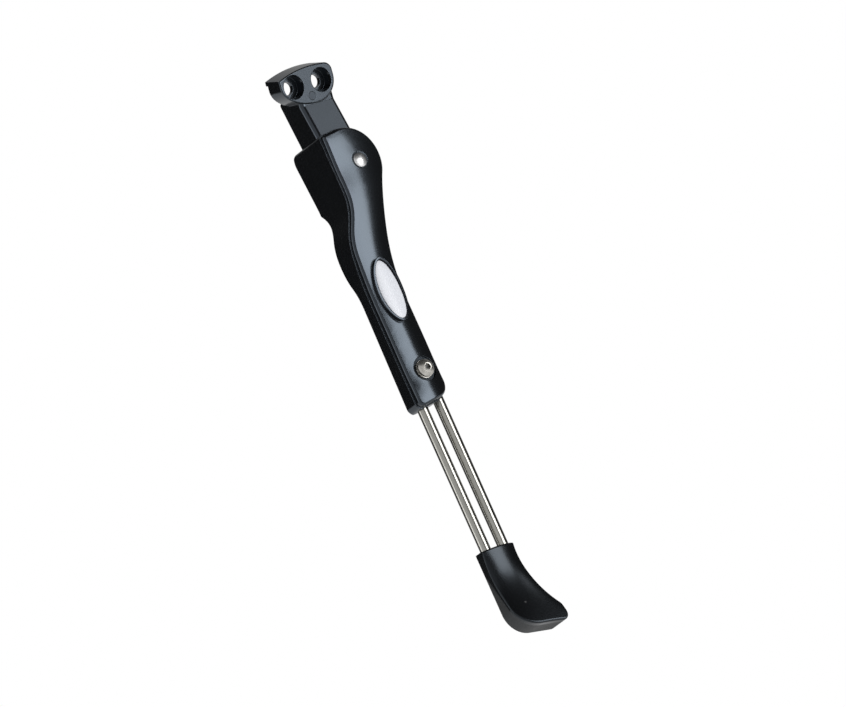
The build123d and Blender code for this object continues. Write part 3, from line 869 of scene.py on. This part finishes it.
@dataclass
class ClampScrew:
    """Button-head screw with a hexagon socket and a rolled thread."""

    head_d: float = 9.5 * MM
    head_height: float = 2.75 * MM
    head_edge: float = 0.9 * MM
    edge_r: float = 0.25 * MM
    socket_flats: float = 3.0 * MM
    socket_depth: float = 1.6 * MM
    socket_sides: int = 6
    socket_drop: float = 0.12 * MM
    drill_point: float = 0.5 * MM
    mouth_share: float = 1.25
    mouth_drop: float = 0.05 * MM
    shank_d: float = 5.0 * MM
    pitch: float = 0.8 * MM
    thread_depth: float = 0.42 * MM
    core_gap: float = 0.01 * MM
    plain_length: float = 3.0 * MM
    end_chamfer: float = 0.2 * MM
    steps: int = 48
    cap_steps: int = 10

    def build(self) -> None:
        """Make the screw where its CAD solid is."""
        low, high = LEG.box("clamp_screw")
        draft = Draft()
        self._head(draft, low.y)
        self._shank(draft, low.y + self.head_height, high.y)
        draft.centre(low, high)
        draft.piece("screw_threaded", Body.LEG, Slot.STAINLESS, "clamp_screw")

    def _head(self, draft: Draft, top: float) -> None:
        """Turn the head and sink the hexagon socket into it.

        Args:
            draft: The screw's mesh.
            top: Depth of the head's highest point.
        """
        half = self.head_d / 2
        seat = top + self.head_height
        mouth = self.mouth_share * self.socket_flats / math.sqrt(3)
        cap = dome(half - self.edge_r, top, self.head_height - self.head_edge, self.cap_steps)
        crown = [point for point in cap if point[0] > mouth]
        profile = [(self.shank_d / 2, seat), (half, seat), (half, seat - self.head_edge + self.edge_r)]
        profile += crown + [(mouth, min(crown[-1][1], top + self.mouth_drop))]
        draft.turn(profile, self.steps)
        front = seat - self.head_edge
        rim = [edge for edge in draft.bm.edges if edge.is_boundary and edge.verts[0].co.y < front]
        hexagon = self._hexagon(draft, top + self.socket_drop)
        bmesh.ops.bridge_loops(draft.bm, edges=rim + hexagon)
        wall = bmesh.ops.extrude_edge_only(draft.bm, edges=hexagon)
        floor = kept(wall, bmesh.types.BMVert)
        bmesh.ops.translate(draft.bm, verts=floor, vec=(0.0, self.socket_depth, 0.0))
        bottom = bmesh.ops.extrude_edge_only(draft.bm, edges=kept(wall, bmesh.types.BMEdge))
        tip = Vector((0.0, top + self.socket_depth + self.drill_point, 0.0))
        bmesh.ops.pointmerge(draft.bm, verts=kept(bottom, bmesh.types.BMVert), merge_co=tip)

    def _hexagon(self, draft: Draft, depth: float) -> List[Any]:
        """Draw the socket's outline with as many points as the head has.

        Args:
            draft: The screw's mesh.
            depth: Where the outline lies.

        Returns:
            The outline's edges.
        """
        corner_r = self.socket_flats / math.sqrt(3)
        made = bmesh.ops.create_circle(
            draft.bm, segments=self.socket_sides, radius=corner_r, cap_ends=False
        )
        sides = list({edge for vert in made["verts"] for edge in vert.link_edges})
        turned = Matrix.Translation((0.0, depth, 0.0)) @ Matrix.Rotation(QUARTER_TURN, 4, "X")
        bmesh.ops.transform(draft.bm, matrix=turned, verts=made["verts"])
        cut = bmesh.ops.subdivide_edges(draft.bm, edges=sides, cuts=self.steps // self.socket_sides - 1)
        return list({edge for edge in kept(cut, bmesh.types.BMEdge) + sides if edge.is_valid})

    def _shank(self, draft: Draft, seat: float, end: float) -> None:
        """Add the plain neck and the helical thread with its end face.

        Args:
            draft: The screw's mesh.
            seat: Depth of the head's underside.
            end: Depth of the screw's end.
        """
        crest = self.shank_d / 2
        root = crest - self.thread_depth
        start = seat + self.plain_length
        draft.turn([(crest, seat), (crest, start - self.pitch), (root, start)], self.steps)
        turns = int((end - start) / self.pitch) - 1
        tooth = [(root, start), (crest, start + 0.5 * self.pitch), (root, start + self.pitch)]
        verts, edges = draft.line(tooth)
        bmesh.ops.spin(
            draft.bm,
            geom=verts + edges,
            cent=(0.0, 0.0, 0.0),
            axis=(0.0, 1.0, 0.0),
            dvec=(0.0, self.pitch / self.steps, 0.0),
            angle=FULL_TURN * turns,
            steps=self.steps * turns,
        )
        last = start + self.pitch * turns
        core = root - self.core_gap
        point = end - self.end_chamfer
        draft.turn([(core, start), (core, last), (root, last), (root, point)], self.steps)
        draft.turn([(root, point), (root - self.end_chamfer, end), (0.0, end)], self.steps)


@dataclass
class WasherStack:
    """Flat and split washers under the screw head, and the washer under the pivot's tail."""

    flat_bore: float = 5.4 * MM
    split_bore: float = 5.1 * MM
    tail_bore: float = 6.4 * MM
    edge_r: float = 0.12 * MM
    split_gap: float = 14.0
    steps: int = 72

    def build(self) -> None:
        """Make each washer where its CAD solid is."""
        self._flat("clamp_washer", "washer_flat", self.flat_bore, Slot.STAINLESS)
        self._flat("pivot_washer", "washer_tail", self.tail_bore, Slot.BRIGHT)
        self._split("clamp_lock_washer", "washer_split", self.split_bore)

    @staticmethod
    def _section(low: Vector, high: Vector, bore: float) -> List[Point]:
        """Give a washer's square section as radius and depth.

        Args:
            low: Lowest corner of the washer's box.
            high: Highest corner of the washer's box.
            bore: Diameter of its hole.

        Returns:
            The section's corners.
        """
        outer = (high.z - low.z) / 2
        return [(bore / 2, low.y), (outer, low.y), (outer, high.y), (bore / 2, high.y)]

    def _flat(self, node: str, name: str, bore: float, slot: Slot) -> None:
        """Turn a whole ring and round its edges.

        Args:
            node: The CAD node that it stands for.
            name: The piece's name.
            bore: Diameter of its hole.
            slot: The slot of its finish.
        """
        low, high = LEG.box(node)
        draft = Draft()
        draft.turn(self._section(low, high, bore), self.steps, closed=True)
        draft.bevel(draft.sharp_edges(SQUARE_EDGE_ANGLE), self.edge_r)
        draft.centre(low, high)
        draft.piece(name, Body.LEG, slot, node)

    def _split(self, node: str, name: str, bore: float) -> None:
        """Turn a ring that stops short of a full circle and close its two ends.

        Args:
            node: The CAD node that it stands for.
            name: The piece's name.
            bore: Diameter of its hole.
        """
        low, high = LEG.box(node)
        draft = Draft()
        verts, edges = draft.line(self._section(low, high, bore), closed=True)
        half_gap = math.radians(self.split_gap / 2)
        bmesh.ops.transform(draft.bm, matrix=Matrix.Rotation(-half_gap, 4, "Y"), verts=verts)
        bmesh.ops.spin(
            draft.bm,
            geom=verts + edges,
            cent=(0.0, 0.0, 0.0),
            axis=(0.0, -1.0, 0.0),
            angle=-(FULL_TURN - 2 * half_gap),
            steps=self.steps,
        )
        bmesh.ops.holes_fill(draft.bm, edges=[edge for edge in draft.bm.edges if edge.is_boundary])
        draft.weld()
        draft.bevel(draft.sharp_edges(SQUARE_EDGE_ANGLE), self.edge_r)
        outer = (high.z - low.z) / 2
        draft.move(Vector((low.x + outer, 0.0, (low.z + high.z) / 2)))
        draft.piece(name, Body.LEG, Slot.STAINLESS, node)


@dataclass
class PivotRivet:
    """Pivot pin with a bright domed head and a peened tail."""

    shank_d: float = 6.4 * MM
    head_d: float = 7.6 * MM
    head_height: float = 1.5 * MM
    head_edge: float = 0.3 * MM
    tail_d: float = 9.0 * MM
    tail_height: float = 1.6 * MM
    tail_flat: float = 2.2 * MM
    tail_dimple: float = 0.35 * MM
    dimple_share: float = 0.8
    steps: int = 64
    cap_steps: int = 10

    def build(self) -> None:
        """Make the pin where its CAD solid is."""
        low, high = LEG.box("pivot_pin")
        shank = self.shank_d / 2
        head_seat = low.y + self.head_height
        tail_seat = high.y - self.tail_height
        head = dome(self.head_d / 2, low.y, self.head_height - self.head_edge, self.cap_steps)
        tail = dome(self.tail_d / 2, high.y, self.head_edge - self.tail_height, self.cap_steps)
        tail = [point for point in tail if point[0] > self.tail_flat]
        rim = tail[-1][1]
        floor = rim - self.tail_dimple
        profile = list(reversed(head)) + [(self.head_d / 2, head_seat), (shank, head_seat)]
        profile += [(shank, tail_seat), (self.tail_d / 2, tail_seat)] + tail
        profile += [(self.tail_flat, rim), (self.dimple_share * self.tail_flat, floor), (0.0, floor)]
        draft = Draft()
        draft.turn(profile, self.steps)
        draft.centre(low, high)
        draft.piece("rivet_pivot", Body.LEG, Slot.BRIGHT, "pivot_pin")


@dataclass
class BadgePlate:
    """Bare oval resin plate that swells slightly inside its rim."""

    side_r: float = 21.0 * MM
    side_gap: float = 0.55 * MM
    end_gap: float = 0.2 * MM
    sunk: float = 0.9 * MM
    meniscus: float = 0.5 * MM
    swell_power: float = 0.7
    around: int = 96
    rings: int = 28

    def build(self) -> None:
        """Make the plate where its CAD solid is."""
        low, high = LEG.box("badge_insert")
        draft = Draft()
        made = bmesh.ops.create_uvsphere(
            draft.bm, u_segments=self.around, v_segments=self.rings, radius=1.0
        )
        bmesh.ops.rotate(draft.bm, verts=made["verts"], matrix=Matrix.Rotation(QUARTER_TURN, 3, "X"))
        cut = bmesh.ops.bisect_plane(
            draft.bm,
            geom=draft.bm.verts[:] + draft.bm.edges[:] + draft.bm.faces[:],
            plane_co=(0.0, 0.0, 0.0),
            plane_no=(0.0, 1.0, 0.0),
            clear_outer=True,
        )
        rim = [item for item in cut["geom_cut"] if isinstance(item, bmesh.types.BMEdge)]
        self._swell(draft, low, high)
        skirt = bmesh.ops.extrude_edge_only(draft.bm, edges=rim)
        for vert in kept(skirt, bmesh.types.BMVert):
            vert.co.y = high.y
        bmesh.ops.edgeloop_fill(draft.bm, edges=kept(skirt, bmesh.types.BMEdge))
        draft.centre(low, high)
        draft.piece("badge_plate", Body.LEG, Slot.BADGE, "badge_insert")

    def _swell(self, draft: Draft, low: Vector, high: Vector) -> None:
        """Press the half ball into a low cushion that bends with the leg's front.

        Args:
            draft: The half ball.
            low: Lowest corner of the plate's box.
            high: Highest corner of the plate's box.
        """
        half_x = (high.x - low.x) / 2 - self.side_gap
        half_z = (high.z - low.z) / 2 - self.end_gap
        top = low.y + self.sunk
        for vert in draft.bm.verts:
            swell = max(0.0, -vert.co.y) ** self.swell_power
            x = vert.co.x * half_x
            fall = self.side_r - math.sqrt(self.side_r**2 - x**2)
            vert.co = (x, top + fall + self.meniscus * (1 - swell), vert.co.z * half_z)


@dataclass
class RodPair:
    """Two drawn rods with chamfered ends."""

    chamfer: float = 0.6 * MM
    edge: float = 0.12 * MM
    edge_fall: float = 0.04 * MM
    steps: int = 96

    def build(self) -> None:
        """Make both rods where their CAD solids are."""
        for side in ("left", "right"):
            node = f"leg_rod_{side}"
            low, high = LEG.box(node)
            radius = (high.x - low.x) / 2
            face = radius - self.chamfer
            profile = [
                (0.0, low.z),
                (face - self.edge, low.z),
                (face, low.z + self.edge_fall),
                (radius, low.z + self.chamfer),
                (radius, high.z - self.chamfer),
                (face, high.z - self.edge_fall),
                (face - self.edge, high.z),
                (0.0, high.z),
            ]
            draft = Draft()
            draft.turn(profile, self.steps)
            draft.stand()
            draft.move(Vector(((low.x + high.x) / 2, (low.y + high.y) / 2, 0.0)))
            draft.piece(f"rod_{side}_drawn", Body.EXTENSION, Slot.ROD, node)


def dress_cad() -> None:
    """Give every CAD node the finish of its slot."""
    slots = {part["node"]: Slot(part["material_slot"]) for part in frame["record"]["subparts"]}
    for node, slot in slots.items():
        data = frame["nodes"][node].data
        data.materials.clear()
        data.materials.append(FINISHES[slot])
        LOG.info("node %s: %s", node, FINISHES[slot].name)


def direction(azimuth: float, elevation: float) -> Vector:
    """Give the way from the stand to a place round it.

    Args:
        azimuth: Degrees from minus Y towards plus X.
        elevation: Degrees above the horizon.

    Returns:
        A unit vector.
    """
    turn, rise = math.radians(azimuth), math.radians(elevation)
    return Vector((math.sin(turn) * math.cos(rise), -math.cos(turn) * math.cos(rise), math.sin(rise)))


@dataclass(frozen=True)
class SoftBox:
    """A rectangle of light that faces the stand."""

    name: str
    azimuth: float
    elevation: float
    distance: float
    width_angle: float
    height_angle: float
    radiance: float
    lean: float = 0.0

    def build(self, centre: Vector) -> None:
        """Hang the box on a sphere round the stand.

        Args:
            centre: The point that it faces.
        """
        data = bpy.data.lights.new(self.name, "AREA")
        data.shape = "RECTANGLE"
        data.size = 2 * self.distance * math.tan(math.radians(self.width_angle / 2))
        data.size_y = 2 * self.distance * math.tan(math.radians(self.height_angle / 2))
        data.energy = self.radiance * math.pi * data.size * data.size_y
        lamp = bpy.data.objects.new(self.name, data)
        bpy.context.scene.collection.objects.link(lamp)
        outward = direction(self.azimuth, self.elevation)
        lamp.location = centre + outward * self.distance
        upright = outward.to_track_quat("Z", "Y").to_matrix()
        lean = Matrix.Rotation(math.radians(self.lean), 3, "Z")
        lamp.rotation_euler = (upright @ lean).to_euler()


@dataclass(frozen=True)
class DrapePanel:
    """A paler upright stretch of the drape."""

    azimuth: float
    half_angle: float
    soft_angle: float
    bright: float


@dataclass
class Studio:
    """White surroundings, a pale floor, soft boxes, a dark drape and the camera."""

    ambient: float = 0.3
    floor_drop: float = 0.2
    floor_r: float = 1.6
    floor_sides: int = 96
    floor_white: Colour = (0.92, 0.92, 0.92)
    floor_glow: float = 0.8
    boxes: Tuple[SoftBox, ...] = (
        SoftBox(
            name="key_box",
            azimuth=18.5,
            elevation=9.5,
            distance=6.0,
            width_angle=33.0,
            height_angle=37.0,
            radiance=5.8,
            lean=4.0,
        ),
        SoftBox(
            name="high_box",
            azimuth=45.5,
            elevation=35.0,
            distance=6.0,
            width_angle=10.0,
            height_angle=9.0,
            radiance=2.2,
        ),
        SoftBox(
            name="rear_box",
            azimuth=180.0,
            elevation=60.0,
            distance=1.2,
            width_angle=28.0,
            height_angle=19.0,
            radiance=3.0,
        ),
    )
    drape_r: float = 8.0
    drape_height: float = 14.0
    drape_sides: int = 64
    drape_dark: float = 0.04
    panels: Tuple[DrapePanel, ...] = (
        DrapePanel(azimuth=-72.0, half_angle=50.0, soft_angle=16.0, bright=0.78),
        DrapePanel(azimuth=-112.0, half_angle=8.0, soft_angle=5.0, bright=2.4),
        DrapePanel(azimuth=146.0, half_angle=38.0, soft_angle=8.0, bright=0.4),
    )
    camera_azimuth: float = -36.0
    camera_elevation: float = 2.24
    camera_roll: float = 15.2
    camera_target: Tuple[float, float, float] = (0.0135, -0.0278, -0.1500)
    camera_lens: float = 900.0
    camera_sensor: float = 36.0
    camera_reach: float = 100.0
    frame_width: float = 0.4364

    def build(self) -> None:
        """Set up everything round the stand."""
        low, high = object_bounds()
        centre = (low + high) / 2
        scene = bpy.context.scene
        scene.view_settings.view_transform = "Standard"
        self._world(scene)
        self._floor(Vector((centre.x, centre.y, low.z - self.floor_drop)))
        self._drape(centre)
        for box in self.boxes:
            box.build(centre)
        self._camera(scene)

    def _world(self, scene: bpy.types.Scene) -> None:
        """Make a world that is seen as white and lights softly.

        Args:
            scene: The scene that gets it.
        """
        scene.world = bpy.data.worlds.new("white_surroundings")
        scene.world.use_nodes = True
        sheet = NodeSheet(scene.world.node_tree)
        soft = sheet.node("ShaderNodeBackground", inputs={"Color": WHITE, "Strength": self.ambient})
        seen = sheet.node("ShaderNodeBackground", inputs={"Color": WHITE, "Strength": 1.0})
        mixed = sheet.node(
            "ShaderNodeMixShader", inputs={0: sheet.seen_share(), 1: soft.outputs[0], 2: seen.outputs[0]}
        )
        sheet.node("ShaderNodeOutputWorld", inputs={"Surface": mixed.outputs[0]})

    def _floor(self, place: Vector) -> None:
        """Lay a round pale floor that keeps the shadow.

        Args:
            place: The floor's middle.
        """
        bm = bmesh.new()
        bmesh.ops.create_circle(bm, segments=self.floor_sides, radius=self.floor_r, cap_ends=True)
        bmesh.ops.translate(bm, verts=bm.verts, vec=place)
        floor = self._stage("studio_floor", bm)
        material = bpy.data.materials.new("pale_floor")
        material.use_nodes = True
        sheet = NodeSheet(material.node_tree)
        matt = sheet.node("ShaderNodeBsdfDiffuse", inputs={"Color": self.floor_white})
        glow = sheet.node("ShaderNodeEmission", inputs={"Color": WHITE})
        share = self.floor_glow * sheet.seen_share()
        mixed = sheet.node(
            "ShaderNodeMixShader", inputs={0: share, 1: matt.outputs[0], 2: glow.outputs[0]}
        )
        sheet.node("ShaderNodeOutputMaterial", inputs={"Surface": mixed.outputs[0]})
        floor.data.materials.append(material)

    def _drape(self, centre: Vector) -> None:
        """Hang a dark drape that only reflections see, with paler stretches.

        Args:
            centre: The point that it goes round.
        """
        bm = bmesh.new()
        bmesh.ops.create_cone(
            bm,
            cap_ends=True,
            segments=self.drape_sides,
            radius1=self.drape_r,
            radius2=self.drape_r,
            depth=self.drape_height,
        )
        bmesh.ops.translate(bm, verts=bm.verts, vec=centre)
        drape = self._stage("studio_drape", bm)
        for ray in ("camera", "diffuse", "transmission", "shadow", "volume_scatter"):
            setattr(drape, f"visible_{ray}", False)
        material = bpy.data.materials.new("dark_drape")
        material.use_nodes = True
        sheet = NodeSheet(material.node_tree)
        x, y, _ = sheet.parts_of(sheet.place())
        colour: Any = (self.drape_dark,) * 3
        for panel in self.panels:
            way = direction(panel.azimuth, 0.0) / self.drape_r
            towards = (x - centre.x) * way.x + (y - centre.y) * way.y
            edge = math.cos(math.radians(panel.half_angle + panel.soft_angle))
            full = math.cos(math.radians(panel.half_angle - panel.soft_angle))
            colour = sheet.blend(sheet.step(towards, edge, full), colour, (panel.bright,) * 3)
        glow = sheet.node("ShaderNodeEmission", inputs={"Color": colour})
        sheet.node("ShaderNodeOutputMaterial", inputs={"Surface": glow.outputs[0]})
        drape.data.materials.append(material)

    @staticmethod
    def _stage(name: str, bm: bmesh.types.BMesh) -> bpy.types.Object:
        """Make a stage object of a finished mesh.

        Args:
            name: The object's name.
            bm: Its mesh, which is used up.

        Returns:
            The new object.
        """
        mesh = bpy.data.meshes.new(name)
        bm.to_mesh(mesh)
        bm.free()
        made = bpy.data.objects.new(name, mesh)
        bpy.context.scene.collection.objects.link(made)
        made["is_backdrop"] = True
        return made

    def _camera(self, scene: bpy.types.Scene) -> None:
        """Place the camera at the viewing angle and framing of the picture.

        Args:
            scene: The scene that gets it.
        """
        data = bpy.data.cameras.new("camera")
        data.lens = self.camera_lens
        data.sensor_width = self.camera_sensor
        data.clip_end = self.camera_reach
        back = direction(self.camera_azimuth, self.camera_elevation)
        level = Vector((0.0, 0.0, 1.0)).cross(back).normalized()
        upright = back.cross(level)
        roll = math.radians(self.camera_roll)
        right = level * math.cos(roll) - upright * math.sin(roll)
        up = back.cross(right)
        camera = bpy.data.objects.new("camera", data)
        scene.collection.objects.link(camera)
        distance = self.frame_width * self.camera_lens / self.camera_sensor
        turn = Matrix((right, up, back)).transposed().to_4x4()
        camera.matrix_world = Matrix.Translation(Vector(self.camera_target) + back * distance) @ turn
        scene.camera = camera


def main() -> None:
    """Dress the stand, build its fine pieces and light it."""
    logging.basicConfig(level=logging.INFO)
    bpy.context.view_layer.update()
    FINISHES.update(make_finishes())
    dress_cad()
    for assembly in (ClampScrew(), WasherStack(), PivotRivet(), BadgePlate(), RodPair()):
        assembly.build()
    Studio().build()


if __name__ == "__main__":
    main()
